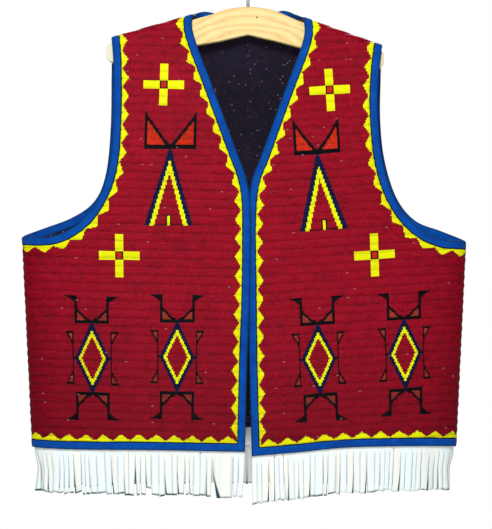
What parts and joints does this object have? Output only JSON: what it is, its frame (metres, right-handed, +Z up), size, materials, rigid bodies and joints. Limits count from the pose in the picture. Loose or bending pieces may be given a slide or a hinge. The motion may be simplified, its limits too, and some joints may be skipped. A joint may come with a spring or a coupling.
{
  "type": "beaded fringed vest on a wooden hanger",
  "caption": "Sleeveless open-front hide vest covered with lane-stitched beadwork, bound edges and a cut hide fringe, hung on a flat wooden hanger with a wire hook.",
  "frame": {"origin": "inside top of the hanger's hook, where a rod or peg carries it", "axes": "+Z up the hanging vest, +X towards the viewer's right (the wearer's left), -Y out of the vest's front"},
  "size_m": [0.5769, 0.0865, 0.7085],
  "materials": {
    "beadwork": "hide covered with glossy glass seed beads in raised lanes",
    "binding_cloth": "plain woven blue cloth, folded and stitched",
    "lining_cloth": "dark printed cotton with pale flecks",
    "fringe_hide": "soft white tanned hide",
    "hanger_wood": "clear lacquered pale wood",
    "hook_wire": "plain bent steel wire"
  },
  "bodies": {
    "root": {"front_right": "beadwork", "front_left": "beadwork", "back": "beadwork", "lining_back": "lining_cloth", "binding_front_right": "binding_cloth", "binding_front_left": "binding_cloth", "binding_armhole_front_right": "binding_cloth", "binding_armhole_front_left": "binding_cloth", "binding_armhole_back_right": "binding_cloth", "binding_armhole_back_left": "binding_cloth", "binding_neck_back": "binding_cloth", "binding_hem_back": "binding_cloth", "fringe_front_right": "fringe_hide", "fringe_front_left": "fringe_hide", "fringe_back": "fringe_hide", "hanger_board": "hanger_wood", "hanger_hook": "hook_wire"}
  },
  "joints": []
}
